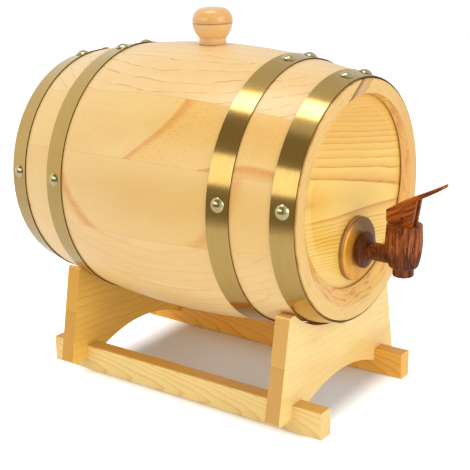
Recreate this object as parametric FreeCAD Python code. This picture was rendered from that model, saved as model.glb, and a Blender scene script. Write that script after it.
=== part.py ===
import FreeCAD, Part
import math
import os
from FreeCAD import Vector

# Small wooden wine barrel lying on a two-cradle stand, with a lever tap and a turned bung.
# Millimetres. +X runs along the barrel towards the tap, +Z is up, the floor is z = 0.
# Shapes are built with the barrel's middle at x = 0 and moved by BARREL_X when they are saved,
# so that the origin is under the middle of the whole object.

os.makedirs("parts", exist_ok=True)

X_AXIS = Vector(1, 0, 0)
Y_AXIS = Vector(0, 1, 0)
Z_AXIS = Vector(0, 0, 1)
BARREL_X = -33.0

# Barrel shell
AXIS_Z = 162.2
BILGE_R = 105.0
END_R = 87.8
HALF_LENGTH = 132.5
STAVE_THICKNESS = 18.0
HOLLOW_RISE = 6.0  # the hollow and the heads sit this far above the shell's middle
BLANK_INNER_R = 50.0
CHIME_FLAT = 10.2
CHIME_BEVEL_DEPTH = 4.3
STAVE_EDGES_DEG = [79, 106, 133, 161, 192, 214, 239, 256, 285, 301.5, 327, 352, 377.6, 403, 421, 439]
SURFACE_R = (HALF_LENGTH**2 + (BILGE_R - END_R) ** 2) / (2 * (BILGE_R - END_R))

# Heads, held in a groove near each end of the staves
HEAD_FACE_X = 127.5
HEAD_THICKNESS = 12.0
HEAD_R = 76.8
GROOVE_R = 77.0
HEAD_EDGE_BEVEL = 9.5
HEAD_EDGE_DROP = 1.2

# Hoops and their domed nails
HOOP_THICKNESS = 0.9
HOOP_GAP = 0.18
END_HOOP_FLARE = 0.45
HOOP_SPANS = {"front_end": (114.7, 131.5), "front_inner": (68.1, 85.1)}
NAIL_ANGLES_DEG = {
    "front_end": [94.6, 77.5, 172.4, 263.0, 353.0],
    "front_inner": [95.4, 78.5, 173.0, 263.0, 353.0],
    "rear_inner": [98.8, 81.8, 174.7, 263.0, 353.0],
    "rear_end": [97.7, 79.5, 175.0, 263.0, 353.0],
}
NAIL_HEAD_R = 5.2
NAIL_HEAD_HEIGHT = 2.5
NAIL_SHANK_R = 1.0
NAIL_LENGTH = 8.0

# Bung
BUNG_X = 2.0
BUNG_HOLE_R = 9.0
BUNG_PLUG_R = 8.92
BUNG_TIP_R = 8.4
BUNG_PLUG_LENGTH = 22.0
BUNG_SEAT_GAP = 0.1

# Stand
STAND_X = 8.3
STAND_Y = 3.0
PANEL_HALF_SPAN = 106.5
PANEL_THICKNESS = 12.0
PANEL_TOP_Z = 90.0
PANEL_BOTTOM_Z = 10.7
PANEL_TOP_HALF = 71.2
PANEL_BOTTOM_HALF = 86.6
PANEL_CORNER_R = 2.5
BOARD_JOINT_Z = 53.0
CRADLE_GAP = 0.3
ARCH_R = 123.0
ARCH_TOP_Z = 24.0
RAIL_LENGTH = 261.6
RAIL_WIDTH = 13.4
RAIL_HEIGHT = 21.5
RAIL_OUTER_Y = 68.6
RAIL_EDGE_R = 1.5
SCREW_R = 1.75
SCREW_HEAD_R = 3.8
SCREW_HEAD_HEIGHT = 2.4
SCREW_RECESS = 1.0
SCREW_TIP_Z = 38.0

# Tap: shank line through the front head, upright body at TAP_X
TAP_X = 167.4
TAP_Z = 125.9
WASHER_R = 23.9
WASHER_THICKNESS = 3.1
ROSETTE_R = 23.6
ROSETTE_THICKNESS = 1.8
FLANGE_FOOT_R = 8.5
FLANGE_R = 13.5
SHANK_R = 6.7
SHANK_HOLE_R = 6.75
SHANK_BORE_R = 3.6
SHANK_TAIL_X = 104.0
BODY_BOTTOM_Z = 118.6
BODY_TOP_Z = 146.8
CHAMBER_R = 8.0
CHAMBER_FLOOR_Z = 120.8
SPOUT_R = 7.7
SPOUT_BORE_R = 5.0
SPOUT_END_Z = 111.9
FLUTE_COUNT = 16
FLUTE_R = 1.7
FLUTE_TOP_Z = 136.0
BONNET_R = 12.9
BONNET_TOP_Z = 150.5
STEM_R = 2.3
STEM_HOLE_R = 2.4
PLUG_R = 6.6
PLUG_TOP_Z = 126.0
PLUG_GAP = 0.1
PIN_R = 1.0
PIN_HOLE_R = 1.05
PIN_Z = 155.65
LEVER_BOTTOM_Z = 150.65
LEVER_HALF_WIDTH = 5.0
CHEEK_THICKNESS = 2.5
PADDLE_HALF_WIDTH = 6.0
PADDLE_TIP_X = 31.4


def save(name, shape):
    """Move one finished piece to its place and write it as its own STEP file."""
    placed = shape.copy()
    placed.translate(Vector(BARREL_X, 0, 0))
    placed.exportStep("parts/" + name + ".step")


def barrel_r(x):
    """Outer radius of the staves at distance x from the barrel's middle."""
    return BILGE_R - SURFACE_R + math.sqrt(SURFACE_R**2 - x**2)


def inner_r(x):
    """Inner radius of the staves at distance x from the barrel's middle."""
    return barrel_r(x) - STAVE_THICKNESS


def wire_face(edges):
    return Part.Face(Part.Wire(Part.__sortEdges__(edges)))


def line(a, b):
    return Part.makeLine(Vector(*a), Vector(*b))


def arc(a, middle, b):
    return Part.Arc(Vector(*a), Vector(*middle), Vector(*b)).toShape()


def polyline(points):
    """Straight edges through the points, in order."""
    return [line(a, b) for a, b in zip(points[:-1], points[1:])]


def prism(points, push):
    """Closed polygon of 3-D points, pushed along a vector."""
    return Part.Face(Part.makePolygon([Vector(*p) for p in points + points[:1]])).extrude(push)


def cylinder(radius, start, direction, length):
    return Part.makeCylinder(radius, length, Vector(*start), direction)


def turned_x(points, z):
    """Solid turned about a line along X at height z, from (x, radius) points."""
    outline = [Vector(x, r, 0) for x, r in points]
    solid = Part.Face(Part.makePolygon(outline + outline[:1])).revolve(Vector(), X_AXIS, 360)
    solid.translate(Vector(0, 0, z))
    return solid


def turned_z(edges, x):
    """Solid turned about a vertical line at x, from edges drawn as (radius, 0, z)."""
    solid = wire_face(edges).revolve(Vector(), Z_AXIS, 360)
    solid.translate(Vector(x, 0, 0))
    return solid


def stave_blank(start_deg, end_deg):
    """Wedge of the shell between two angles, before its inside is cut."""
    corners = [(HALF_LENGTH, END_R, 0), (HALF_LENGTH, BLANK_INNER_R, 0)]
    corners += [(-HALF_LENGTH, BLANK_INNER_R, 0), (-HALF_LENGTH, END_R, 0)]
    outside = arc((-HALF_LENGTH, END_R, 0), (0, BILGE_R, 0), (HALF_LENGTH, END_R, 0))
    blank = wire_face([outside] + polyline(corners)).revolve(Vector(), X_AXIS, end_deg - start_deg)
    blank.rotate(Vector(), X_AXIS, start_deg)
    blank.translate(Vector(0, 0, AXIS_Z))
    return blank


def hollow():
    """Space inside the staves with the two head grooves; it lies HOLLOW_RISE above the shell's middle."""
    bevel_x = HALF_LENGTH - CHIME_BEVEL_DEPTH
    head_back_x = HEAD_FACE_X - HEAD_THICKNESS
    land_r = inner_r(HEAD_FACE_X)
    back_r = inner_r(head_back_x)
    edges = [arc((-head_back_x, back_r, 0), (0, inner_r(0), 0), (head_back_x, back_r, 0))]
    edges.append(line((-bevel_x, 0, 0), (bevel_x, 0, 0)))
    for side in (1, -1):
        edges += polyline(
            [
                (side * bevel_x, 0, 0),
                (side * bevel_x, land_r, 0),
                (side * HEAD_FACE_X, land_r, 0),
                (side * HEAD_FACE_X, GROOVE_R, 0),
                (side * head_back_x, GROOVE_R, 0),
                (side * head_back_x, back_r, 0),
            ]
        )
    solid = wire_face(edges).revolve(Vector(), X_AXIS, 360)
    solid.translate(Vector(0, 0, AXIS_Z + HOLLOW_RISE))
    return solid


def chime_bevel(side):
    """Slanted cut from the rim's inner edge in to the head's opening, run past the end by 1 mm."""
    land_r = inner_r(HEAD_FACE_X)
    past = 1 + 1 / CHIME_BEVEL_DEPTH
    outer_r = land_r + (END_R - CHIME_FLAT - land_r) * past
    circles = []
    for x, radius, rise in (
        (HALF_LENGTH - CHIME_BEVEL_DEPTH, land_r, HOLLOW_RISE),
        (HALF_LENGTH + 1, outer_r, HOLLOW_RISE * (1 - past)),
    ):
        middle = Vector(side * x, 0, AXIS_Z + rise)
        circles.append(Part.Wire(Part.makeCircle(radius, middle, Vector(side, 0, 0))))
    return Part.makeLoft(circles, True, True)


def hoop_inner_r(x):
    """Inner radius of a hoop at x; the end hoops stand off a little towards the chime."""
    start, end = HOOP_SPANS["front_end"]
    flare = END_HOOP_FLARE * max(0.0, (abs(x) - start) / (end - start))
    return barrel_r(x) + HOOP_GAP + flare


def nail_frame(x, angle_deg):
    """Point on the hoop's outer face and the outward normal there."""
    tilt = math.atan((hoop_inner_r(x - 1) - hoop_inner_r(x + 1)) / 2)
    turn = math.radians(angle_deg)
    out = Vector(0, math.cos(turn), math.sin(turn))
    normal = out * math.cos(tilt) + X_AXIS * math.sin(tilt)
    return Vector(x, 0, AXIS_Z) + out * (hoop_inner_r(x) + HOOP_THICKNESS), normal


def nail(x, angle_deg):
    """Domed nail: a slice of a ball on a straight shank."""
    seat, normal = nail_frame(x, angle_deg)
    ball_r = (NAIL_HEAD_R**2 + NAIL_HEAD_HEIGHT**2) / (2 * NAIL_HEAD_HEIGHT)
    ball = Part.makeSphere(ball_r, seat + normal * (NAIL_HEAD_HEIGHT - ball_r))
    cap = ball.common(Part.makeCylinder(2 * ball_r, 2 * ball_r, seat, normal))
    shank = Part.makeCylinder(NAIL_SHANK_R, NAIL_LENGTH + 1, seat - normal * NAIL_LENGTH, normal)
    return cap.fuse(shank).removeSplitter()


def hoop(span):
    """Steel band that follows the taper of the shell over its own width."""
    x0, x1 = span
    r0 = hoop_inner_r(x0)
    r1 = hoop_inner_r(x1)
    points = [(x0, r0), (x1, r1), (x1, r1 + HOOP_THICKNESS), (x0, r0 + HOOP_THICKNESS)]
    return turned_x(points, AXIS_Z)


def shell_parts():
    """Staves, hoops and nails, with the nail holes and the bung hole cut through them."""
    inside = [hollow(), chime_bevel(1), chime_bevel(-1)]
    spans = dict(HOOP_SPANS)
    for name, (x0, x1) in HOOP_SPANS.items():
        spans[name.replace("front", "rear")] = (-x1, -x0)
    shanks = []
    for name, span in spans.items():
        middle = sum(span) / 2
        nails = [nail(middle, angle) for angle in NAIL_ANGLES_DEG[name]]
        holes = []
        for angle in NAIL_ANGLES_DEG[name]:
            seat, normal = nail_frame(middle, angle)
            holes.append(Part.makeCylinder(NAIL_SHANK_R, NAIL_LENGTH + 2, seat - normal * NAIL_LENGTH, normal))
        shanks += holes
        save("hoop_" + name, hoop(span).cut(holes))
        save("nails_" + name, Part.makeCompound(nails))
    bung_hole = cylinder(BUNG_HOLE_R, (BUNG_X, 0, AXIS_Z), Z_AXIS, BILGE_R + 5)
    for index, (start, end) in enumerate(zip(STAVE_EDGES_DEG[:-1], STAVE_EDGES_DEG[1:]), 1):
        stave = stave_blank(start, end).cut(inside)
        cuts = [hole for hole in shanks if stave.BoundBox.intersect(hole.BoundBox)]
        if start < 90 < end:
            cuts.append(bung_hole)
        save("stave_%02d" % index, stave.cut(cuts) if cuts else stave)


def head(side):
    """Round end board with a shallow bevel around its outer face."""
    face_x = side * HEAD_FACE_X
    points = [
        (face_x - side * HEAD_THICKNESS, 0),
        (face_x - side * HEAD_THICKNESS, HEAD_R),
        (face_x - side * HEAD_EDGE_DROP, HEAD_R),
        (face_x - side * HEAD_EDGE_DROP, inner_r(HEAD_FACE_X)),
        (face_x, inner_r(HEAD_FACE_X) - HEAD_EDGE_BEVEL),
        (face_x, 0),
    ]
    return turned_x(points, AXIS_Z + HOLLOW_RISE)


def bung():
    """Turned knob with a waist, a beaded line and a tapered plug below."""
    top = BILGE_R + AXIS_Z
    seat = top + BUNG_SEAT_GAP
    crown = top + 27.2
    crown_edge = (10.0, 0, top + 26.0)
    crown_r = (10.0**2 + 1.2**2) / (2 * 1.2)
    crown_middle = (5.0, 0, crown - crown_r + math.sqrt(crown_r**2 - 25.0))
    belly = top + 15.6
    neck = top + 3.4
    edges = [
        line((0, 0, top - BUNG_PLUG_LENGTH), (BUNG_TIP_R, 0, top - BUNG_PLUG_LENGTH)),
        line((BUNG_TIP_R, 0, top - BUNG_PLUG_LENGTH), (BUNG_PLUG_R, 0, seat)),
        line((BUNG_PLUG_R, 0, seat), (10.5, 0, seat)),
        line((10.5, 0, seat), (10.5, 0, seat + 1.0)),
        arc((10.5, 0, seat + 1.0), (9.9, 0, seat + 1.35), (10.4, 0, seat + 1.7)),
        line((10.4, 0, seat + 1.7), (10.3, 0, neck + 0.8)),
        arc((10.3, 0, neck + 0.8), (13.5, 0, top + 9.4), (15.2, 0, belly - 0.4)),
        arc((15.2, 0, belly - 0.4), (14.9, 0, belly), (15.2, 0, belly + 0.4)),
        arc((15.2, 0, belly + 0.4), (13.6, 0, top + 22.6), crown_edge),
        arc(crown_edge, crown_middle, (0, 0, crown)),
        line((0, 0, crown), (0, 0, top - BUNG_PLUG_LENGTH)),
    ]
    return turned_z(edges, BUNG_X)


def rail(side):
    """Square-edged runner under the cradles, with its long edges eased."""
    y0 = min(side * RAIL_OUTER_Y, side * (RAIL_OUTER_Y - RAIL_WIDTH))
    start = Vector(STAND_X - RAIL_LENGTH / 2, STAND_Y + y0, 0)
    body = Part.makeBox(RAIL_LENGTH, RAIL_WIDTH, RAIL_HEIGHT, start)
    long_edges = [e for e in body.Edges if abs(e.tangentAt(e.FirstParameter).x) > 0.99]
    return body.makeFillet(RAIL_EDGE_R, long_edges)


def screw_points():
    """Centre (x, y) of each stand screw, one where each rail crosses a cradle."""
    middle_y = RAIL_OUTER_Y - RAIL_WIDTH / 2
    middle_x = PANEL_HALF_SPAN - PANEL_THICKNESS / 2
    return [(STAND_X + a * middle_x, STAND_Y + b * middle_y) for a in (1, -1) for b in (1, -1)]


def screw(x, y):
    """Wood screw driven up through a rail into a cradle."""
    head_part = cylinder(SCREW_HEAD_R, (x, y, SCREW_RECESS), Z_AXIS, SCREW_HEAD_HEIGHT)
    return head_part.fuse(cylinder(SCREW_R, (x, y, SCREW_RECESS), Z_AXIS, SCREW_TIP_Z - SCREW_RECESS))


def screw_hole(x, y):
    recess = cylinder(SCREW_HEAD_R, (x, y, -1), Z_AXIS, 1 + SCREW_RECESS + SCREW_HEAD_HEIGHT)
    return recess.fuse(cylinder(SCREW_R, (x, y, 0), Z_AXIS, SCREW_TIP_Z))


def cradle(side):
    """End panel of the stand: trapezoid with a barrel-shaped hollow, an arch and rail notches."""
    outer_x = STAND_X + side * PANEL_HALF_SPAN
    x0 = min(outer_x, outer_x - side * PANEL_THICKNESS)
    wide_x = min(abs(outer_x), abs(outer_x - side * PANEL_THICKNESS))
    corners = [
        (x0, -PANEL_BOTTOM_HALF, PANEL_BOTTOM_Z),
        (x0, PANEL_BOTTOM_HALF, PANEL_BOTTOM_Z),
        (x0, PANEL_TOP_HALF, PANEL_TOP_Z),
        (x0, -PANEL_TOP_HALF, PANEL_TOP_Z),
    ]
    blank = prism(corners, Vector(PANEL_THICKNESS, 0, 0))
    corner_edges = [e for e in blank.Edges if abs(e.tangentAt(e.FirstParameter).x) > 0.99]
    blank = blank.makeFillet(PANEL_CORNER_R, corner_edges)
    blank.translate(Vector(0, STAND_Y, 0))
    through = PANEL_THICKNESS + 2
    hollow = cylinder(barrel_r(wide_x) + CRADLE_GAP, (x0 - 1, 0, AXIS_Z), X_AXIS, through)
    arch = cylinder(ARCH_R, (x0 - 1, STAND_Y, ARCH_TOP_Z - ARCH_R), X_AXIS, through)
    notches = [
        Part.makeBox(through, RAIL_WIDTH, RAIL_HEIGHT + 1, Vector(x0 - 1, STAND_Y + y, -1))
        for y in (-RAIL_OUTER_Y, RAIL_OUTER_Y - RAIL_WIDTH)
    ]
    return blank.cut([hollow, arch] + notches)


def split_boards(panel):
    """The panel is glued up from a lower and an upper board."""
    box = panel.BoundBox
    below = Part.makeBox(
        box.XLength + 2,
        box.YLength + 2,
        BOARD_JOINT_Z - box.ZMin + 1,
        Vector(box.XMin - 1, box.YMin - 1, box.ZMin - 1),
    )
    return panel.common(below), panel.cut(below)


def stand_parts():
    points = screw_points()
    holes = [screw_hole(x, y) for x, y in points]
    save("stand_screws", Part.makeCompound([screw(x, y) for x, y in points]))
    for name, side in (("left", 1), ("right", -1)):
        save("rail_" + name, rail(side).cut(holes))
    for name, side in (("front", 1), ("rear", -1)):
        lower, upper = split_boards(cradle(side))
        save("cradle_%s_lower_board" % name, lower.cut(holes))
        save("cradle_%s_upper_board" % name, upper)


def flutes():
    """Leaning round cutters that follow the taper of the tap's lower body."""
    lean = math.radians(9.5)
    cutters = []
    for index in range(FLUTE_COUNT):
        turn = math.radians(360.0 / FLUTE_COUNT * (index + 0.5))
        out = Vector(math.cos(turn), math.sin(turn), 0)
        top = Vector(TAP_X, 0, FLUTE_TOP_Z) + out * 14.4
        down = Z_AXIS * -math.cos(lean) - out * math.sin(lean)
        groove = Part.makeCylinder(FLUTE_R, 20, top, down)
        cutters.append(groove.fuse(Part.makeSphere(FLUTE_R, top)))
    return cutters


def tap_body():
    """Flanged shank with its threaded tail, and the fluted upright body with its spout."""
    flange_x = HEAD_FACE_X + WASHER_THICKNESS + ROSETTE_THICKNESS
    shank = turned_x(
        [
            (SHANK_TAIL_X, 0),
            (SHANK_TAIL_X, SHANK_R - 1),
            (SHANK_TAIL_X + 1, SHANK_R),
            (flange_x, SHANK_R),
            (flange_x, FLANGE_FOOT_R),
            (flange_x + 1.4, FLANGE_R - 2.6),
            (flange_x + 2.8, FLANGE_R),
            (flange_x + 5.2, FLANGE_R),
            (flange_x + 6.8, FLANGE_R - 2.2),
            (flange_x + 8.6, SHANK_R),
            (TAP_X - CHAMBER_R, SHANK_R),
            (TAP_X - CHAMBER_R, 0),
        ],
        TAP_Z,
    )
    edges = [
        line((0, 0, BODY_BOTTOM_Z), (9.6, 0, BODY_BOTTOM_Z)),
        line((9.6, 0, BODY_BOTTOM_Z), (10.6, 0, BODY_BOTTOM_Z + 1)),
        arc((10.6, 0, BODY_BOTTOM_Z + 1), (13.1, 0, 133.0), (13.0, 0, BODY_TOP_Z)),
        line((13.0, 0, BODY_TOP_Z), (0, 0, BODY_TOP_Z)),
        line((0, 0, BODY_TOP_Z), (0, 0, BODY_BOTTOM_Z)),
    ]
    upright = turned_z(edges, TAP_X).cut(flutes())
    spout = cylinder(SPOUT_R, (TAP_X, 0, SPOUT_END_Z), Z_AXIS, BODY_BOTTOM_Z - SPOUT_END_Z + 0.5)
    spout = spout.makeFillet(1.0, [e for e in spout.Edges if abs(e.BoundBox.ZMax - SPOUT_END_Z) < 0.01])
    chamber = cylinder(CHAMBER_R, (TAP_X, 0, CHAMBER_FLOOR_Z), Z_AXIS, BODY_TOP_Z - CHAMBER_FLOOR_Z)
    outlet = cylinder(SPOUT_BORE_R, (TAP_X, 0, SPOUT_END_Z - 1), Z_AXIS, 12)
    bore = cylinder(SHANK_BORE_R, (SHANK_TAIL_X - 1, 0, TAP_Z), X_AXIS, TAP_X - SHANK_TAIL_X)
    return upright.fuse([shank, spout]).cut([chamber, outlet, bore]).removeSplitter()


def tap_bonnet():
    """Screwed cap that closes the valve chamber and guides the stem."""
    cap = cylinder(BONNET_R, (TAP_X, 0, BODY_TOP_Z), Z_AXIS, BONNET_TOP_Z - BODY_TOP_Z)
    cap = cap.makeFillet(0.8, [e for e in cap.Edges if abs(e.BoundBox.ZMin - BONNET_TOP_Z) < 0.01])
    spigot = cylinder(CHAMBER_R, (TAP_X, 0, BODY_TOP_Z - 3.4), Z_AXIS, 4)
    guide = cylinder(STEM_HOLE_R, (TAP_X, 0, BODY_TOP_Z - 5), Z_AXIS, 10)
    return cap.fuse(spigot).cut(guide).removeSplitter()


def tap_spring():
    """Closing spring between the plug and the bonnet."""
    coil_r = 4.4
    wire_r = 0.5
    low = PLUG_TOP_Z + wire_r + 0.1
    high = BODY_TOP_Z - 3.4 - wire_r - 0.1
    helix = Part.makeHelix((high - low) / 5.5, high - low, coil_r)
    section = Part.Wire(Part.makeCircle(wire_r, Vector(coil_r, 0, 0), Y_AXIS))
    coil = Part.Wire(helix).makePipeShell([section], True, True)
    coil.translate(Vector(TAP_X, 0, low))
    return coil


def tap_stem():
    floor = CHAMBER_FLOOR_Z + PLUG_GAP
    stem = cylinder(STEM_R, (TAP_X, 0, floor + 1.5), Z_AXIS, PIN_Z + STEM_R - floor - 1.5)
    return stem.cut(cylinder(PIN_R, (TAP_X, -10, PIN_Z), Y_AXIS, 20))


def tap_plug():
    """Soft seal moulded on the foot of the stem."""
    floor = CHAMBER_FLOOR_Z + PLUG_GAP
    plug = cylinder(PLUG_R, (TAP_X, 0, floor), Z_AXIS, PLUG_TOP_Z - floor)
    return plug.cut(cylinder(STEM_R, (TAP_X, 0, floor + 1.5), Z_AXIS, 10))


def tap_lever():
    """Thumb paddle on two cheeks that straddle the stem; the heel of the cheeks is a lifting cam."""
    rear = -12.3
    top = [
        (rear, 160.5),
        (-4.6, 165.5),
        (3.1, 169.6),
        (10.7, 173.3),
        (18.3, 177.0),
        (25.7, 180.8),
        (PADDLE_TIP_X, 183.9),
    ]
    thickness = [3.4, 3.5, 3.6, 3.5, 3.2, 2.8, 2.4]
    under = [(x, z - t) for (x, z), t in zip(top, thickness)]
    points = [(TAP_X + x, -PADDLE_HALF_WIDTH, z) for x, z in top + under[::-1]]
    paddle = prism(points, Y_AXIS * (2 * PADDLE_HALF_WIDTH))
    tip_centre = TAP_X + PADDLE_TIP_X - PADDLE_HALF_WIDTH
    plan = prism(
        [
            (TAP_X + rear, -LEVER_HALF_WIDTH, 0),
            (TAP_X + 11, -LEVER_HALF_WIDTH, 0),
            (tip_centre, -PADDLE_HALF_WIDTH, 0),
            (tip_centre, PADDLE_HALF_WIDTH, 0),
            (TAP_X + 11, LEVER_HALF_WIDTH, 0),
            (TAP_X + rear, LEVER_HALF_WIDTH, 0),
        ],
        Z_AXIS * 300,
    )
    plan = plan.fuse(cylinder(PADDLE_HALF_WIDTH, (tip_centre, 0, 0), Z_AXIS, 300))
    paddle = paddle.common(plan)
    heel_start = -8.0
    heel_r = 6.0
    heel = [
        (heel_start - heel_r * math.sin(a), LEVER_BOTTOM_Z + heel_r * (1 - math.cos(a)))
        for a in [math.radians(d) for d in range(0, 49, 6)]
        if heel_start - heel_r * math.sin(a) > rear
    ]
    cheek_outline = [(7.9, LEVER_BOTTOM_Z)] + heel + [(rear, 152.1)]
    cheek_outline += [(rear, 158.5), (-4.6, 163.5), (3.1, 167.6), (11.2, 171.4)]
    cheeks = [
        prism([(TAP_X + x, y, z) for x, z in cheek_outline], Y_AXIS * CHEEK_THICKNESS)
        for y in (-LEVER_HALF_WIDTH, LEVER_HALF_WIDTH - CHEEK_THICKNESS)
    ]
    pin_hole = cylinder(PIN_HOLE_R, (TAP_X, -10, PIN_Z), Y_AXIS, 20)
    return paddle.fuse(cheeks).cut(pin_hole).removeSplitter()


def tap_nut():
    """Hexagonal nut that clamps the tap from inside the barrel."""
    corner_r = 11.0
    x0 = HEAD_FACE_X - HEAD_THICKNESS - 9.4
    corners = []
    for index in range(6):
        turn = math.radians(60 * index)
        corners.append((x0, corner_r * math.cos(turn), TAP_Z + corner_r * math.sin(turn)))
    return prism(corners, X_AXIS * 6.2).cut(cylinder(SHANK_R, (x0 - 1, 0, TAP_Z), X_AXIS, 20))


def ring_x(radius, hole_r, x0, x1, edge):
    """Flat ring across the shank line, its outer front edge chamfered by `edge`."""
    points = [(x0, hole_r), (x0, radius), (x1 - edge, radius), (x1, radius - edge), (x1, hole_r)]
    return turned_x(points, TAP_Z)


def tap_parts():
    washer_x = HEAD_FACE_X + WASHER_THICKNESS
    head_back_x = HEAD_FACE_X - HEAD_THICKNESS
    save("tap_washer", ring_x(WASHER_R, SHANK_HOLE_R, HEAD_FACE_X, washer_x, 0.8))
    save("tap_rosette", ring_x(ROSETTE_R, SHANK_HOLE_R, washer_x, washer_x + ROSETTE_THICKNESS, 0.8))
    save("tap_inner_seal", ring_x(10.5, SHANK_R, head_back_x - 3, head_back_x, 0.5))
    save("tap_nut", tap_nut())
    save("tap_body", tap_body())
    save("tap_bonnet", tap_bonnet())
    save("tap_spring", tap_spring())
    save("tap_stem", tap_stem())
    save("tap_plug", tap_plug())
    save("lever_pin", cylinder(PIN_R, (TAP_X, -4.9, PIN_Z), Y_AXIS, 9.8))
    save("tap_lever", tap_lever())


shell_parts()
tap_hole = cylinder(SHANK_HOLE_R, (0, 0, TAP_Z), X_AXIS, 200)
save("head_front", head(1).cut(tap_hole))
save("head_rear", head(-1))
save("bung", bung())
stand_parts()
tap_parts()
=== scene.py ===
import math

import bpy
from mathutils import Matrix, Vector


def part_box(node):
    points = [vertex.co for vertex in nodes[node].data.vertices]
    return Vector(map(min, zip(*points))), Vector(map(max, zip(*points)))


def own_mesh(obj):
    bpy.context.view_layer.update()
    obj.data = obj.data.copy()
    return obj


# Looks of the small wine barrel: camera, light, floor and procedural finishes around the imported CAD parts.
# Metres, in the row frame: +X runs along the barrel towards the tap, +Z is up.

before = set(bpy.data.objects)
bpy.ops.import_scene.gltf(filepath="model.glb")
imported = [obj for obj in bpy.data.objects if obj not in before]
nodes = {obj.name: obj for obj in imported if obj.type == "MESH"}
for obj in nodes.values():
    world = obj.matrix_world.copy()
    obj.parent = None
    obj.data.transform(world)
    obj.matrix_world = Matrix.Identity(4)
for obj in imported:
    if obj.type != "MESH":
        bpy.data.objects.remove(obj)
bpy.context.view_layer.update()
scene = bpy.context.scene

MM = 0.001


def box_middle(*names):
    """Middle of the box around one or more CAD nodes."""
    boxes = [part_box(name) for name in names]
    low = Vector([min(b[0][i] for b in boxes) for i in range(3)])
    high = Vector([max(b[1][i] for b in boxes) for i in range(3)])
    return (low + high) / 2


HEAD_MIDDLE = box_middle("head_front")
STAVE_LOW, STAVE_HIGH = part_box("stave_01")
AXIS_Z = box_middle("hoop_front_end").z
HEAD_RISE_MM = (HEAD_MIDDLE.z - AXIS_Z) / MM
BARREL_X = (STAVE_LOW.x + STAVE_HIGH.x) / 2
HALF_LENGTH_MM = (STAVE_HIGH.x - STAVE_LOW.x) / 2 / MM
BARREL_MIDDLE = Vector((BARREL_X, 0, AXIS_Z))


# ---------------------------------------------------------------- node helpers
class Net:
    """Short calls that add shader nodes to one tree and return their outputs."""

    def __init__(self, tree):
        self.tree = tree

    def node(self, kind, inputs=None, **settings):
        made = self.tree.nodes.new(kind)
        for key, value in settings.items():
            setattr(made, key, value)
        for key, value in (inputs or {}).items():
            if isinstance(value, bpy.types.NodeSocket):
                self.tree.links.new(value, made.inputs[key])
            else:
                made.inputs[key].default_value = value
        return made

    def math(self, operation, a, b=0.0, c=0.0):
        return self.node("ShaderNodeMath", {0: a, 1: b, 2: c}, operation=operation).outputs[0]

    def add(self, *terms):
        total = terms[0]
        for term in terms[1:]:
            total = self.math("ADD", total, term)
        return total

    def times(self, a, b):
        return self.math("MULTIPLY", a, b)

    def absolute(self, value):
        return self.math("ABSOLUTE", value)

    def swing(self, noise, amount):
        """Noise moved to lie evenly about zero and scaled."""
        return self.times(self.math("SUBTRACT", noise, 0.5), amount)

    def step(self, value, low, high, out_low=0.0, out_high=1.0):
        """Smooth ramp of value between low and high."""
        inputs = {0: value, 1: low, 2: high, 3: out_low, 4: out_high}
        return self.node("ShaderNodeMapRange", inputs, interpolation_type="SMOOTHSTEP").outputs[0]

    def scaled(self, vector, scale, shift=(0.0, 0.0, 0.0)):
        inputs = {0: vector, 1: scale, 2: shift}
        return self.node("ShaderNodeVectorMath", inputs, operation="MULTIPLY_ADD").outputs[0]

    def noise(self, vector, detail=2.0, roughness=0.5, distortion=0.0):
        inputs = {"Vector": vector, "Scale": 1.0, "Detail": detail, "Roughness": roughness,
                  "Distortion": distortion}
        return self.node("ShaderNodeTexNoise", inputs).outputs[0]

    def mix(self, factor, a, b, blend="MIX"):
        inputs = {0: factor, 6: a, 7: b}
        return self.node("ShaderNodeMix", inputs, data_type="RGBA", blend_type=blend).outputs[2]

    def split(self, vector):
        return self.node("ShaderNodeSeparateXYZ", {0: vector}).outputs

    def join(self, x, y, z):
        return self.node("ShaderNodeCombineXYZ", {0: x, 1: y, 2: z}).outputs[0]

    def local(self, place, turn):
        """Millimetres in a frame placed and turned like a board."""
        here = self.node("ShaderNodeTexCoord").outputs["Object"]
        inputs = {"Vector": here, "Location": place, "Rotation": turn, "Scale": (MM, MM, MM)}
        return self.node("ShaderNodeMapping", inputs, vector_type="TEXTURE").outputs[0]

    def row(self):
        """Millimetres in the row frame."""
        return self.local((0.0, 0.0, 0.0), (0.0, 0.0, 0.0))

    def bump(self, height, strength, distance):
        inputs = {"Height": height, "Strength": strength, "Distance": distance}
        return self.node("ShaderNodeBump", inputs).outputs[0]


def rgb(red, green, blue):
    """Linear colour from the usual 0-255 values."""
    def linear(value):
        value /= 255.0
        return value / 12.92 if value <= 0.04045 else ((value + 0.055) / 1.055) ** 2.4
    return (linear(red), linear(green), linear(blue), 1.0)


def new_material(name, **constants):
    """Material with one Principled shader; constants are set on its own sockets."""
    material = bpy.data.materials.new(name)
    material.use_nodes = True
    tree = material.node_tree
    tree.nodes.clear()
    net = Net(tree)
    shader = net.node("ShaderNodeBsdfPrincipled", constants)
    output = net.node("ShaderNodeOutputMaterial")
    tree.links.new(shader.outputs[0], output.inputs[0])
    return material, net, shader


def wire(net, shader, **sockets):
    for key, value in sockets.items():
        net.tree.links.new(value, shader.inputs[key.replace("_", " ")])


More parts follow.
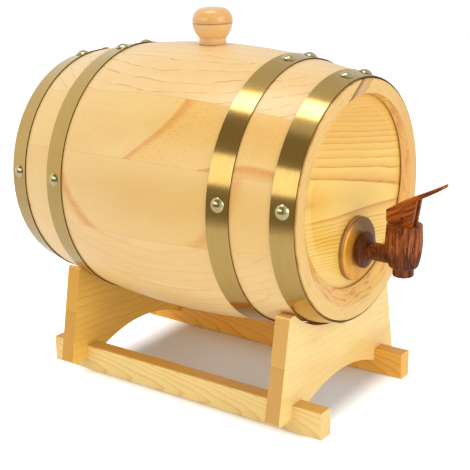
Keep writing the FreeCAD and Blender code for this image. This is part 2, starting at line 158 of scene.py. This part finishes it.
# ---------------------------------------------------------------- wood
def late_wood(net, phase, breaks, seed=0.0, broad=0.5, line=0.5, ramp=2.2, width=0.15, edge=0.05, broken=0.3):
    """Late wood of a growth-ring count: its slow darkening and its narrow dark line.

    broad and line weigh the two; ramp shapes the darkening, width and edge the line at the year's end.
    breaks is a slow noise, and broken says how far it fades the lines in and out.
    """
    year = net.math("FLOOR", phase)
    within = net.math("FRACT", phase)
    draw = {"W": net.add(year, seed * 7.0)}
    chance = net.node("ShaderNodeTexWhiteNoise", draw, noise_dimensions="1D").outputs[0]
    fall = net.step(within, 1.0 - edge, 1.0, 1.0, 0.0)
    share = net.times(fall, net.math("MULTIPLY_ADD", chance, 0.5, 0.6))
    rise = net.step(within, 1.0 - width, 1.0 - edge)
    slow = net.times(net.times(net.math("POWER", within, ramp), broad), share)
    kept = net.step(breaks, 0.38, 0.62, 1.0 - broken, 1.0)
    quick = net.times(net.times(rise, line), net.times(share, kept))
    return slow, quick


def ring_field(net, local, slope=(0.0, 0.0), cup=0.0, spacing=6.0, offset=0.0, warp=1.0, seed=0.0, face=1.0,
               heart=None, **profile):
    """Growth rings cut by the surface, in a board frame; gives what late_wood gives.

    Local X runs along the grain, Y across the board and Z out of its face. slope tilts the rings
    along and across the board, cup curves them, and spacing is the thickness of one year in mm.
    face is -1 where the heart side looks out, and no rings show at depths below heart.
    """
    x, y, z = net.split(local)
    shift = (seed * 13.7, seed * 5.3, seed * 9.1)
    slow = net.noise(net.scaled(local, (1 / 75, 1 / 24, 1 / 24), shift), 2.0, 0.55)
    quick = net.noise(net.scaled(local, (1 / 16, 1 / 5, 1 / 5), shift), 2.0, 0.5)
    depth = net.add(
        z,
        net.times(x, slope[0]),
        net.times(y, slope[1]),
        net.times(net.times(y, y), cup),
        net.swing(slow, warp * 9.0),
        net.swing(quick, warp * 1.1),
    )
    phase = net.math("MULTIPLY_ADD", depth, face / spacing, offset + 50.0)
    breaks = net.noise(net.scaled(local, (1 / 22, 1 / 4, 1 / 4), shift), 1.0, 0.5)
    slow_wood, quick_wood = late_wood(net, phase, breaks, seed, **profile)
    if heart:
        shown = net.step(depth, heart[0], heart[1])
        slow_wood = net.times(slow_wood, shown)
        quick_wood = net.times(quick_wood, shown)
    return slow_wood, quick_wood


# Years on a head, counted from the middle line of its tongue of grain.
HEAD_YEARS_PER_MM2 = 1 / 393
HEAD_YEARS_BELOW = 0.04
HEAD_YEARS_CLOSE = 0.17
HEAD_CLOSE_FROM_MM = 12.0
HEAD_YEARS_ALONG = 0.0062
HEAD_YEARS_ALONG_FALL = -0.00002
HEAD_TONGUE_HALF_MM = 58.0
HEAD_FIRST_YEAR = 50.42


def head_field(net, local, seed, tilt, **profile):
    """Rings on a head: a long tongue of grain across the middle and close lines above and below."""
    x, y = net.split(local)[:2]
    shift = (seed * 13.7, seed * 5.3, seed * 9.1)
    slow = net.noise(net.scaled(local, (1 / 60, 1 / 15, 1 / 15), shift), 2.0, 0.5)
    along = net.add(x, net.times(y, tilt))
    across = net.add(net.times(x, -tilt), y, net.swing(slow, 4.0))
    squared = net.times(across, across)
    down = net.times(across, -1.0)
    bend = net.times(squared, HEAD_YEARS_PER_MM2)
    below = net.times(net.math("MAXIMUM", down, 0.0), HEAD_YEARS_BELOW)
    close = net.times(net.math("MAXIMUM", net.add(down, -HEAD_CLOSE_FROM_MM), 0.0), HEAD_YEARS_CLOSE)
    drift = net.times(along, net.math("MULTIPLY_ADD", along, HEAD_YEARS_ALONG_FALL, HEAD_YEARS_ALONG))
    lean = net.times(drift, net.math("MULTIPLY_ADD", squared, -1 / HEAD_TONGUE_HALF_MM**2, 1.0))
    count = net.add(bend, below, close, lean)
    breaks = net.noise(net.scaled(local, (1 / 30, 1 / 4, 1 / 4), shift), 1.0, 0.5)
    return late_wood(net, net.math("MULTIPLY_ADD", count, -1.0, HEAD_FIRST_YEAR), breaks, seed, **profile)


WOOD_BLUSH = rgb(228, 168, 96)
PORE_TONE = rgb(176, 122, 62)
FIBRE_DEPTH = 0.16
WOOD_IOR = 1.48
COAT_ROUGHNESS = 0.16
WOOD_BUMP_M = 0.00012


def wood_material(name, place, turn, light, warm, dark, rings, field=ring_field, contrast=0.8, fleck=0.25,
                  mottle=0.25, roughness=0.34, coat=0.2, extra=None, blush=WOOD_BLUSH):
    """Clear-varnished wood. extra(net, local, colour) may return a changed colour for one piece."""
    material, net, shader = new_material(
        name, **{"Coat Weight": coat, "Coat Roughness": COAT_ROUGHNESS, "Coat IOR": WOOD_IOR, "IOR": WOOD_IOR}
    )
    local = net.local(place, turn)
    slow, quick = field(net, local, **rings)
    seed = rings.get("seed", 0.0)
    shift = (seed * 3.1, seed * 8.7, seed * 4.9)
    colour = net.mix(net.times(slow, contrast), light, warm)
    colour = net.mix(net.times(quick, contrast), colour, dark)
    cloud = net.noise(net.scaled(local, (1 / 95, 1 / 34, 1 / 34), shift), 3.0, 0.55)
    colour = net.mix(net.step(cloud, 0.42, 0.72, 0.0, mottle), colour, blush)
    fibre = net.noise(net.scaled(local, (1 / 26, 1 / 0.55, 1 / 0.55), shift), 3.0, 0.6)
    fine = net.noise(net.scaled(local, (1 / 5, 1 / 0.16, 1 / 0.16), shift), 2.0, 0.6)
    tone = net.add(net.swing(fibre, FIBRE_DEPTH), net.swing(fine, FIBRE_DEPTH * 0.45), 1.0)
    colour = net.mix(1.0, colour, net.join(tone, tone, tone), "MULTIPLY")
    pores = net.noise(net.scaled(local, (1 / 4.5, 1 / 0.42, 1 / 0.42), shift), 1.0, 0.4)
    dashes = net.times(net.step(pores, 0.62, 0.74), net.math("MULTIPLY_ADD", slow, 0.9, 0.35))
    colour = net.mix(net.times(dashes, fleck), colour, PORE_TONE)
    if extra:
        colour = extra(net, local, colour)
    rough = net.add(roughness, net.swing(fibre, 0.14), net.times(quick, -0.05))
    height = net.add(net.times(fibre, 0.5), net.times(quick, 0.8), net.times(dashes, -0.6))
    wire(net, shader, Base_Color=colour, Roughness=rough, Normal=net.bump(height, 0.16, WOOD_BUMP_M))
    return material


STAVE_WARM = rgb(238, 188, 98)
STAVE_GOLD = rgb(236, 182, 86)
STAVE_DARK = rgb(212, 134, 58)
SEAM_TONE = rgb(176, 112, 48)
RIM_TONE = rgb(237, 195, 114)
RIM_SPECK = rgb(210, 152, 78)
RIM_ARC = rgb(218, 152, 72)
BEVEL_TONE = rgb(243, 192, 98)
BEVEL_SPECK = rgb(214, 150, 70)
BEVEL_ARC = rgb(216, 134, 44)
RESIN_TONE = rgb(140, 74, 4)
FAR_RIM_TONE = rgb(226, 156, 62)
# Faint streaks lie this far beside the dark one.
FAINT_STREAKS_MM = (3.6, 6.8, 9.8)
# Half a seam's width, as an angle around the barrel.
SEAM_HALF_RADIANS = 0.0045
CHIME_DEPTH_MM = 4.6
CHIME_X_MM = HALF_LENGTH_MM - CHIME_DEPTH_MM
GOLD_FROM_X_MM = -70.0
GOLD_FULL_X_MM = 50.0
FAR_RIM_FROM_Y_MM = 35.0
FAR_RIM_FULL_Y_MM = 75.0


def stave_finish(half_angle_deg, streak=None, golden=0.0):
    """End grain on the chime and a hairline seam along both edges of a stave.

    streak gives the height and lean of the dark resin streaks across the stave's end, and golden is how
    far the board deepens in colour towards its front.
    """
    half_angle = math.radians(half_angle_deg)

    def finish(net, local, colour):
        x, y, z = net.split(local)
        turned = net.absolute(net.math("ARCTAN2", y, z))
        colour = net.mix(net.step(x, GOLD_FROM_X_MM, GOLD_FULL_X_MM, 0.0, golden), colour, STAVE_GOLD)
        seam = net.step(turned, half_angle - SEAM_HALF_RADIANS, half_angle - 0.001)
        colour = net.mix(net.times(seam, 0.16), colour, SEAM_TONE)
        reach = net.absolute(x)
        end = net.step(reach, CHIME_X_MM, CHIME_X_MM + 0.4)
        speck = net.noise(net.scaled(local, (1 / 8, 1 / 0.7, 1 / 0.7)), 3.0, 0.65)
        shift = (half_angle * 31.0, 0.0, 0.0)
        arcs = net.noise(net.scaled(local, (1 / 25, 1 / 17, 1 / 2.3), shift), 2.0, 0.5)
        rim = net.mix(net.step(speck, 0.45, 0.75, 0.0, 0.3), RIM_TONE, RIM_SPECK)
        rim = net.mix(net.step(arcs, 0.50, 0.70, 0.0, 0.5), rim, RIM_ARC)
        bevel = net.mix(net.step(speck, 0.45, 0.75, 0.0, 0.2), BEVEL_TONE, BEVEL_SPECK)
        bevel = net.mix(net.step(arcs, 0.46, 0.62, 0.0, 0.75), bevel, BEVEL_ARC)
        if streak:
            high, lean = streak
            across = net.add(z, -high, net.times(y, -lean))
            mark = net.step(net.absolute(across), 1.0, 2.6, 0.95, 0.0)
            for away in FAINT_STREAKS_MM:
                faint = net.step(net.absolute(net.add(across, away)), 0.3, 1.6, 0.5, 0.0)
                mark = net.math("MAXIMUM", mark, faint)
            rim = net.mix(mark, rim, RESIN_TONE)
            bevel = net.mix(mark, bevel, RESIN_TONE)
        inside = net.step(reach, HALF_LENGTH_MM - 0.4, HALF_LENGTH_MM - 0.05, 1.0, 0.0)
        cut = net.mix(inside, rim, bevel)
        side = net.split(net.row())[1]
        far = net.step(side, FAR_RIM_FROM_Y_MM, FAR_RIM_FULL_Y_MM, 0.0, 0.45)
        cut = net.mix(far, cut, FAR_RIM_TONE)
        return net.mix(net.times(end, 0.9), colour, cut)

    return finish


# Edges of the staves in degrees from +Y towards +Z, and how each board was sawn. A stave without a row in
# one of these tables takes plain rings or a plain tone.
STAVE_EDGES_DEG = [79, 106, 133, 161, 192, 214, 239, 256, 285, 301.5, 327, 352, 377.6, 403, 421, 439]
STAVE_RINGS = {
    1: dict(slope=(0.012, 0.42), cup=0.002, spacing=5.5, offset=0.2, warp=0.45, seed=1.0, broad=0.3, line=0.7,
            width=0.09, edge=0.03, broken=0.9),
    2: dict(slope=(0.0, 0.30), cup=0.004, spacing=3.5, offset=0.0, warp=0.6, seed=2.0, broad=0.3, line=1.1,
            width=0.12, edge=0.05, broken=0.93),
    3: dict(slope=(0.21, -0.139), cup=0.0074, spacing=10.2, offset=0.6078, warp=0.12, seed=3.0, face=-1.0,
            heart=(106.8, 108.0), broad=1.7, ramp=0.4, line=1.5, width=0.21, edge=0.07, broken=0.1),
    4: dict(slope=(0.0156, 0.0788), cup=0.00405, spacing=12.0, offset=0.585, warp=0.07, seed=4.0, broad=0.2,
            line=0.95, width=0.2, edge=0.08, broken=0.2),
    5: dict(slope=(0.03, 0.42), cup=0.002, spacing=3.6, offset=0.3, warp=0.45, seed=5.0, broad=0.6, line=0.3,
            width=0.3, edge=0.25, broken=0.7),
    6: dict(slope=(0.02, 0.50), cup=0.0, spacing=4.2, offset=0.1, warp=0.5, seed=6.0, broad=0.6, line=0.3,
            width=0.3, edge=0.25, broken=0.7),
}
STAVE_LINES = {1: rgb(196, 142, 84), 2: rgb(184, 130, 74), 3: rgb(218, 140, 54), 4: rgb(220, 148, 70)}
# Height in mm and lean of the resin streak, and how golden the front of the board is.
STAVE_STREAKS = {1: (85.1, 0.64)}
STAVE_GOLDEN = {3: 0.2, 4: 0.36, 5: 0.2}
STAVE_TINTS = {
    1: rgb(241, 206, 148), 2: rgb(241, 206, 144), 3: rgb(240, 202, 130), 4: rgb(238, 200, 132),
    5: rgb(239, 204, 140), 6: rgb(241, 206, 142),
}


def stave_turn(angle_deg):
    """Board frame of a stave: Z points out through its middle."""
    return (math.radians(angle_deg - 90.0), 0.0, 0.0)


def dress(name, material):
    """Give a CAD node this material in all its slots."""
    slots = nodes[name].data.materials
    if len(slots) == 0:
        slots.append(material)
    for index in range(len(slots)):
        slots[index] = material


for index, (start, end) in enumerate(zip(STAVE_EDGES_DEG[:-1], STAVE_EDGES_DEG[1:]), 1):
    wobble = math.sin(index * 2.4)
    plain = dict(slope=(0.05 * wobble, 0.25 + 0.25 * wobble), cup=0.003, spacing=7.0 + 2.0 * wobble, warp=0.5,
                 seed=float(index), broad=0.6, line=0.5, width=0.2, edge=0.08)
    rings = STAVE_RINGS.get(index, plain)
    tint = STAVE_TINTS.get(index, rgb(239 + 2 * wobble, 203 + 3 * wobble, 136 + 6 * wobble))
    material = wood_material(
        "pine_stave_%02d" % index, BARREL_MIDDLE, stave_turn((start + end) / 2), tint, STAVE_WARM,
        STAVE_LINES.get(index, STAVE_DARK), rings,
        extra=stave_finish((end - start) / 2, STAVE_STREAKS.get(index), STAVE_GOLDEN.get(index, 0.0)),
        contrast=0.8, mottle=0.28, roughness=0.33, fleck=0.6 if index == 3 else 0.35,
    )
    dress("stave_%02d" % index, material)

# Head boards: grain runs across the barrel, the frame's Z looks out of the face.
HEAD_LIGHT = rgb(249, 208, 102)
HEAD_WARM = rgb(234, 166, 58)
HEAD_DARK = rgb(204, 130, 22)
HEAD_UPPER = rgb(230, 164, 54)
HEAD_BORDER = rgb(248, 214, 132)
HEAD_BORDER_R_MM = 62.0


def head_finish(net, local, colour):
    """Deeper tone towards the head's top and a pale worked border around it."""
    x, y = net.split(local)[:2]
    up = net.add(y, -HEAD_RISE_MM)
    radius = net.math("SQRT", net.add(net.times(x, x), net.times(up, up)))
    border = net.step(radius, HEAD_BORDER_R_MM - 0.4, HEAD_BORDER_R_MM + 0.4)
    colour = net.mix(net.step(up, 12.0, 62.0, 0.0, 0.6), colour, HEAD_UPPER)
    return net.mix(net.times(border, 0.22), colour, HEAD_BORDER)


for name, side, seed in (("head_front", 1, 21.0), ("head_rear", -1, 24.0)):
    turn = Matrix(((0, 0, side), (side, 0, 0), (0, 1, 0))).to_euler()
    rings = dict(seed=seed, tilt=-0.16 * side, broad=1.0, line=0.8, ramp=1.8, width=0.2, edge=0.08,
                 broken=0.5)
    dress(name, wood_material(
        "pine_" + name, BARREL_MIDDLE, turn, HEAD_LIGHT, HEAD_WARM, HEAD_DARK, rings, field=head_field,
        contrast=1.0, fleck=0.12, mottle=0.3, roughness=0.32, extra=head_finish, blush=rgb(240, 184, 92),
    ))

# Stand: the boards' grain runs across the barrel, the rails' along it.
STAND_LIGHT = rgb(253, 222, 146)
STAND_WARM = rgb(234, 180, 84)
STAND_DARK = rgb(208, 140, 50)
REAR_LIGHT = rgb(255, 208, 98)
EDGE_GRAIN_AND_SHADE_TONE = rgb(208, 142, 28)
JOINT_TONE = rgb(176, 108, 30)
BOARD_JOINT_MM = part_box("cradle_front_upper_board")[0].z / MM


def edge_grain_and_shade(sides, joint_mm=None):
    """Darker tone on the faces that look along the given axes, with the joint of two boards marked there: end
    grain on the cradle boards' ends, painted shade on the rails' top faces under the barrel.
    """
    def finish(net, local, colour):
        facing = net.node("ShaderNodeNewGeometry").outputs["Normal"]
        cut = 0.0
        for side in sides:
            turned = net.absolute(net.split(facing)["xyz".index(side)])
            cut = net.math("MAXIMUM", cut, turned)
        cut = net.step(cut, 0.75, 0.95)
        colour = net.mix(net.times(cut, 0.66), colour, EDGE_GRAIN_AND_SHADE_TONE)
        if joint_mm:
            height = net.split(net.row())[2]
            line = net.step(net.absolute(net.add(height, -joint_mm)), 0.1, 0.6, 0.5, 0.0)
            below = net.step(height, joint_mm - 0.2, joint_mm, 0.22, 0.0)
            mark = net.times(cut, net.math("MAXIMUM", line, below))
            colour = net.mix(mark, colour, JOINT_TONE)
        return colour
    return finish


CRADLE_BOARDS = (
    "cradle_front_lower_board",
    "cradle_front_upper_board",
    "cradle_rear_lower_board",
    "cradle_rear_upper_board",
)
for seed, name in enumerate(CRADLE_BOARDS, 31):
    turn = Matrix(((0, 0, 1), (1, 0, 0), (0, 1, 0))).to_euler()
    front = "front" in name
    light = STAND_LIGHT if front else REAR_LIGHT
    rings = dict(slope=(0.03, 0.62 if front else 0.50), cup=0.0015, spacing=3.4 if front else 3.0, warp=0.55,
                 seed=float(seed), broad=0.5, line=0.45, width=0.25, edge=0.12)
    dress(name, wood_material(
        "pine_" + name, box_middle(name), turn, light, STAND_WARM, STAND_DARK, rings,
        contrast=0.28 if front else 0.75, fleck=0.3, mottle=0.35, roughness=0.36,
        extra=edge_grain_and_shade("yz", BOARD_JOINT_MM), blush=rgb(236, 176, 84),
    ))

# Light, warm and dark tone of each rail.
RAIL_WOOD = {
    "rail_left": (rgb(255, 192, 74), rgb(246, 160, 50), rgb(218, 124, 34)),
    "rail_right": (rgb(248, 216, 138), rgb(228, 170, 80), rgb(206, 140, 54)),
}
for seed, (name, (light, warm, dark)) in enumerate(RAIL_WOOD.items(), 41):
    turn = (math.radians(90), 0.0, 0.0)
    contrast = 0.9 if name == "rail_left" else 0.62
    rings = dict(slope=(0.10, 0.42), cup=0.02, spacing=2.6, warp=0.75, seed=float(seed), broad=0.8, line=0.6,
                 width=0.3, edge=0.15)
    # The rails' darker top faces are painted shade from the barrel above.
    dress(name, wood_material(
        "pine_" + name, box_middle(name), turn, light, warm, dark, rings, contrast=contrast, fleck=0.3,
        mottle=0.25, roughness=0.36, extra=edge_grain_and_shade("z"), blush=rgb(232, 170, 82),
    ))

# Bung: turned from one block, grain upright.
BUNG_LINE_BELOW_TOP_MM = 11.6
BUNG_LINE_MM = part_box("bung")[1].z / MM - BUNG_LINE_BELOW_TOP_MM
BUNG_CAP = rgb(224, 164, 80)
BUNG_GROOVE_SHADE = rgb(166, 106, 34)


def bung_finish(net, local, colour):
    """Painted shade as a dark line in the groove round the knob, and a deeper tone on its cap."""
    above = net.add(net.split(net.row())[2], -BUNG_LINE_MM)
    colour = net.mix(net.step(above, 0.0, 0.6, 0.0, 0.6), colour, BUNG_CAP)
    # Painted shade in the groove.
    line = net.step(net.absolute(above), 0.2, 0.7, 0.75, 0.0)
    return net.mix(line, colour, BUNG_GROOVE_SHADE)


dress("bung", wood_material(
    "turned_bung", box_middle("bung"), (0.0, math.radians(90), 0.0), rgb(244, 200, 136), rgb(230, 172, 100),
    rgb(200, 128, 62), dict(slope=(0.0, 0.2), cup=0.02, spacing=3.0, warp=0.4, seed=51.0), contrast=0.45,
    fleck=0.2, mottle=0.4, roughness=0.24, coat=0.6, extra=bung_finish, blush=rgb(220, 150, 84),
))


# ---------------------------------------------------------------- metal
HOOP_EDGE_SHADE_TONE = rgb(112, 90, 56)


def brushed_metal(name, colour, deep, roughness):
    """Sheet metal brushed around the barrel's axis, with painted shade on its cut edges."""
    material, net, shader = new_material(name, Metallic=1.0)
    local = net.local(BARREL_MIDDLE, (0.0, 0.0, 0.0))
    x, y, z = net.split(local)
    radius = net.math("SQRT", net.add(net.times(y, y), net.times(z, z)))
    around = net.math("ARCTAN2", z, y)
    brushed = net.join(net.times(x, 7.0), net.times(around, 5.0), net.times(radius, 4.0))
    lines = net.noise(brushed, 3.0, 0.7)
    cloud = net.noise(net.scaled(local, (1 / 30, 1 / 30, 1 / 30)), 2.0, 0.5)
    tint = net.mix(net.step(lines, 0.3, 0.7), colour, deep)
    tint = net.mix(net.step(cloud, 0.4, 0.7, 0.0, 0.3), tint, deep)
    # Painted shade on the faces that look along the barrel, the hoops' thin edges.
    facing = net.node("ShaderNodeNewGeometry").outputs["Normal"]
    edge_shade = net.step(net.absolute(net.split(facing)[0]), 0.7, 0.9)
    tint = net.mix(edge_shade, tint, HOOP_EDGE_SHADE_TONE)
    rough = net.add(roughness, net.swing(lines, 0.1), net.swing(cloud, 0.06))
    wire(net, shader, Base_Color=tint, Roughness=rough, Normal=net.bump(lines, 0.10, 0.00005))
    return material


def polished_metal(name, colour, deep, roughness, metallic=1.0, painted_reflection=None):
    """Smooth metal with faint handling marks; on the tap's disc a painted dark reflection browns the upper
    far side.
    """
    material, net, shader = new_material(name, Metallic=metallic)
    here = net.row()
    cloud = net.noise(net.scaled(here, (1 / 9, 1 / 9, 1 / 9)), 3.0, 0.6)
    tint = net.mix(net.step(cloud, 0.3, 0.8), colour, deep)
    if painted_reflection:
        # Painted dark reflection: the disc's upper far side is darkened in its colour.
        y, z = net.split(net.local(box_middle("tap_rosette"), (0.0, 0.0, 0.0)))[1:]
        up = net.add(net.times(z, 0.85), net.times(y, 0.5), net.swing(cloud, 5.0))
        tint = net.mix(net.step(up, 2.0, 17.0, 0.0, 0.85), tint, painted_reflection)
    rough = net.add(roughness, net.swing(cloud, 0.08))
    wire(net, shader, Base_Color=tint, Roughness=rough, Normal=net.bump(cloud, 0.05, 0.00004))
    return material


hoop_metal = brushed_metal("antique_brass_hoop", rgb(203, 171, 104), rgb(186, 152, 86), 0.15)
nail_metal = polished_metal("pale_brass_nail", rgb(204, 192, 148), rgb(180, 166, 118), 0.10)
rosette_metal = polished_metal("brass_rosette", rgb(246, 178, 66), rgb(230, 158, 50), 0.40,
                               metallic=0.35, painted_reflection=rgb(104, 60, 16))
washer_metal = polished_metal("steel_washer", rgb(178, 142, 102), rgb(150, 116, 82), 0.45, metallic=0.7)
steel = polished_metal("plain_steel", rgb(196, 196, 194), rgb(160, 160, 160), 0.3)
for name in nodes:
    if name.startswith("hoop_"):
        dress(name, hoop_metal)
    elif name.startswith("nails_"):
        dress(name, nail_metal)
dress("tap_rosette", rosette_metal)
dress("tap_washer", washer_metal)
for name in ("tap_stem", "tap_spring", "stand_screws"):
    dress(name, steel)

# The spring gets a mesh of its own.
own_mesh(nodes["tap_spring"])
dress("lever_pin", polished_metal("browned_pin", rgb(96, 52, 26), rgb(74, 38, 18), 0.4))


# ---------------------------------------------------------------- tap
TAP_VEIN = rgb(50, 17, 5)
TAP_PALE_VEIN = rgb(206, 128, 62)
TAP_PAINTED_SHADE = rgb(58, 20, 6)


def tap_wood(name, turn, seed, dark=rgb(98, 40, 11), light=rgb(172, 92, 34), depth=1.0, veined=0.8):
    """Moulded plastic printed like dark reddish wood; depth weighs the painted shade on the lower body and
    the shank.
    """
    material, net, shader = new_material(name, IOR=1.32)
    local = net.local(box_middle("tap_body"), turn)
    shift = (seed, seed * 2.0, seed * 3.0)
    broad = net.noise(net.scaled(local, (1 / 26, 1 / 3.2, 1 / 3.2), shift), 3.0, 0.6, 0.6)
    veins = net.noise(net.scaled(local, (1 / 14, 1 / 0.9, 1 / 0.9), shift), 3.0, 0.65, 0.4)
    colour = net.mix(net.step(broad, 0.35, 0.68), dark, light)
    colour = net.mix(net.step(veins, 0.50, 0.66, 0.0, veined), colour, TAP_VEIN)
    colour = net.mix(net.step(veins, 0.43, 0.31, 0.0, 0.6), colour, TAP_PALE_VEIN)
    # Painted shade: the lower body and the shank near the barrel are darkened in colour.
    x, _, z = net.split(net.local(box_middle("tap_body"), (0.0, 0.0, 0.0)))
    lower_shade = net.math("MAXIMUM", net.step(z, -4.0, 6.0, 0.5, 0.0), net.step(x, -2.0, 6.0, 0.55, 0.0))
    colour = net.mix(net.times(lower_shade, depth), colour, TAP_PAINTED_SHADE)
    rough = net.add(0.34, net.swing(veins, 0.2))
    grain = net.bump(net.add(veins, broad), 0.25, 0.0002)
    wire(net, shader, Base_Color=colour, Roughness=rough, Normal=grain)
    return material


upright = tap_wood("dark_wood_tap", (0.0, math.radians(90), 0.0), 1.0)
for name in ("tap_body", "tap_bonnet", "tap_nut"):
    dress(name, upright)
dress("tap_lever", tap_wood("dark_wood_lever", (0.0, math.radians(-28), 0.0), 4.0,
                            dark=rgb(118, 48, 6), light=rgb(198, 102, 26), depth=0.0, veined=0.45))


def rubber():
    """Pale silicone with a fine grain."""
    material, net, shader = new_material("seal_rubber", IOR=1.5)
    here = net.row()
    grain = net.noise(net.scaled(here, (2.0, 2.0, 2.0)), 3.0, 0.6)
    tone = net.mix(grain, rgb(200, 200, 196), rgb(176, 176, 170))
    rough = net.add(0.6, net.times(grain, 0.2))
    wire(net, shader, Base_Color=tone, Roughness=rough, Normal=net.bump(grain, 0.2, 0.0001))
    return material


for name in ("tap_inner_seal", "tap_plug"):
    dress(name, rubber())


# ---------------------------------------------------------------- floor, light, camera
FLOOR_X = (-1.6, 1.6)
FLOOR_Y = (-0.50, 1.8)
FLOOR_EMISSION = 0.78
SHADE_MIDDLE_X_MM = -12.0
SHADE_HALF_X_MM = 125.0
SHADE_HALF_Y_MM = 82.0
GLOW_LEVEL = 0.42
GLOW_TO_CAMERA = 0.58
GLOW_TO_GLOSS = -0.36


def floor_sheet():
    """White studio floor that glows softly outside the ground under the barrel: painted light, with a painted
    shadow left under the barrel.
    """
    mesh = bpy.data.meshes.new("floor")
    corners = [(FLOOR_X[0], FLOOR_Y[0], 0), (FLOOR_X[1], FLOOR_Y[0], 0),
               (FLOOR_X[1], FLOOR_Y[1], 0), (FLOOR_X[0], FLOOR_Y[1], 0)]
    mesh.from_pydata(corners, [], [(0, 1, 2, 3)])
    floor = bpy.data.objects.new("floor", mesh)
    scene.collection.objects.link(floor)
    material, net, shader = new_material("pale_floor", **{"IOR": 1.4, "Emission Strength": FLOOR_EMISSION})
    here = net.row()
    x, y = net.split(here)[:2]
    reach_x = net.times(net.absolute(net.add(x, -SHADE_MIDDLE_X_MM)), 1 / SHADE_HALF_X_MM)
    reach_y = net.times(net.absolute(y), 1 / SHADE_HALF_Y_MM)
    reach = net.math("MAXIMUM", reach_x, reach_y)
    path = net.node("ShaderNodeLightPath").outputs
    level = net.add(GLOW_LEVEL, net.times(path["Is Camera Ray"], GLOW_TO_CAMERA),
                    net.times(path["Is Glossy Ray"], GLOW_TO_GLOSS))
    # Painted light: the glow stops under the barrel, leaving a painted shadow, and is stronger to the camera
    # and weaker in reflections.
    glow = net.times(net.step(reach, 0.72, 1.0), level)
    cloud = net.noise(net.scaled(here, (1 / 120, 1 / 120, 1 / 120)), 2.0, 0.5)
    wire(net, shader, Base_Color=net.mix(cloud, (0.82, 0.86, 0.93, 1.0), (0.85, 0.89, 0.955, 1.0)),
         Roughness=net.add(0.42, net.times(cloud, 0.05)), Emission_Color=net.join(glow, glow, glow))
    mesh.materials.append(material)


floor_sheet()


CAMERA_PLACE = (0.46179, -0.65892, 0.37218)
CAMERA_YAW_DEG = 35.806
CAMERA_PITCH_DEG = 17.41
CAMERA_ROLL_DEG = -1.026
LENS_MM = 82.32
SENSOR_MM = 36.0


def softbox(name, place, aim, width, height, watts, tint=(1.0, 1.0, 1.0)):
    """Rectangular area light that the camera doesn't see, turned towards aim."""
    data = bpy.data.lights.new(name, "AREA")
    data.shape = "RECTANGLE"
    data.size = width
    data.size_y = height
    data.energy = watts
    data.color = tint
    lamp = bpy.data.objects.new(name, data)
    scene.collection.objects.link(lamp)
    lamp.location = place
    lamp.rotation_euler = (Vector(aim) - Vector(place)).to_track_quat("-Z", "Y").to_euler()
    lamp.visible_camera = False
    return lamp


AIM = (0.0, 0.0, 0.16)
softbox("side_box", (-0.38, -1.04, 0.63), AIM, width=1.12, height=0.47, watts=3.0)
softbox("front_box", (1.25, -0.15, 0.62), AIM, width=0.9, height=0.8, watts=5.5, tint=(1.0, 0.97, 0.92))
STRIP_XY = (-0.1434, -0.0574)
strip = softbox("top_strip", (*STRIP_XY, 1.25), (*STRIP_XY, 0.0), width=0.70, height=0.295, watts=3.3)
strip.rotation_euler = (0.0, 0.0, math.radians(CAMERA_YAW_DEG))


ROOM_LIGHT = 0.625
ROOM_IN_GLOSS = 0.74
PATCH_DEPTH = -0.44
REAR_LIFT = 0.28
# Ramps at the dark patch's sides, as bearings from the near side, and at its lower and upper edge.
PATCH_START_DEG = (-62, -42)
PATCH_END_DEG = (24, 44)
PATCH_LOW = (-0.36, -0.20)
PATCH_HIGH = (0.86, 0.93)


def studio_world():
    """Even soft room light; polished metal also sees a darker part of the room on the near side."""
    world = bpy.data.worlds.new("studio")
    world.use_nodes = True
    tree = world.node_tree
    tree.nodes.clear()
    net = Net(tree)
    path = net.node("ShaderNodeLightPath").outputs
    toward = net.node("ShaderNodeTexCoord").outputs["Generated"]
    x, y, z = net.split(toward)
    side = net.math("ARCTAN2", x, net.times(y, -1.0))
    near = net.times(net.step(side, *map(math.radians, PATCH_START_DEG)),
                     net.step(side, *map(math.radians, PATCH_END_DEG), 1.0, 0.0))
    level = net.times(net.step(z, *PATCH_LOW), net.step(z, *PATCH_HIGH, 1.0, 0.0))
    patch = net.times(near, level)
    shade = net.add(ROOM_IN_GLOSS, net.times(patch, PATCH_DEPTH), net.step(x, -0.4, -0.9, 0.0, REAR_LIFT))
    room = net.node("ShaderNodeBackground", {0: (1.0, 0.985, 0.945, 1.0), 1: ROOM_LIGHT})
    tone = net.mix(patch, (1.0, 0.99, 0.97, 1.0), (1.0, 0.86, 0.62, 1.0))
    gloss = net.node("ShaderNodeBackground", {0: tone, 1: shade})
    seen = net.node("ShaderNodeBackground", {0: (1.0, 1.0, 1.0, 1.0), 1: 1.0})
    lit = {0: path["Is Glossy Ray"], 1: room.outputs[0], 2: gloss.outputs[0]}
    soft = net.node("ShaderNodeMixShader", lit)
    both = net.node("ShaderNodeMixShader", {0: path["Is Camera Ray"], 1: soft.outputs[0], 2: seen.outputs[0]})
    output = net.node("ShaderNodeOutputWorld")
    tree.links.new(both.outputs[0], output.inputs[0])
    scene.world = world


studio_world()


def camera():
    """Camera a little above the barrel, off its front corner."""
    data = bpy.data.cameras.new("camera")
    data.sensor_width = SENSOR_MM
    data.lens = LENS_MM
    data.clip_start = 0.02
    data.clip_end = 20.0
    made = bpy.data.objects.new("camera", data)
    scene.collection.objects.link(made)
    yaw = Matrix.Rotation(math.radians(CAMERA_YAW_DEG), 4, "Z")
    pitch = Matrix.Rotation(math.pi / 2 - math.radians(CAMERA_PITCH_DEG), 4, "X")
    roll = Matrix.Rotation(math.radians(CAMERA_ROLL_DEG), 4, "Z")
    made.matrix_world = Matrix.Translation(CAMERA_PLACE) @ (yaw @ pitch @ roll)
    scene.camera = made


camera()
scene.view_settings.view_transform = "Standard"
scene.view_settings.look = "None"
scene.view_settings.exposure = 0.0
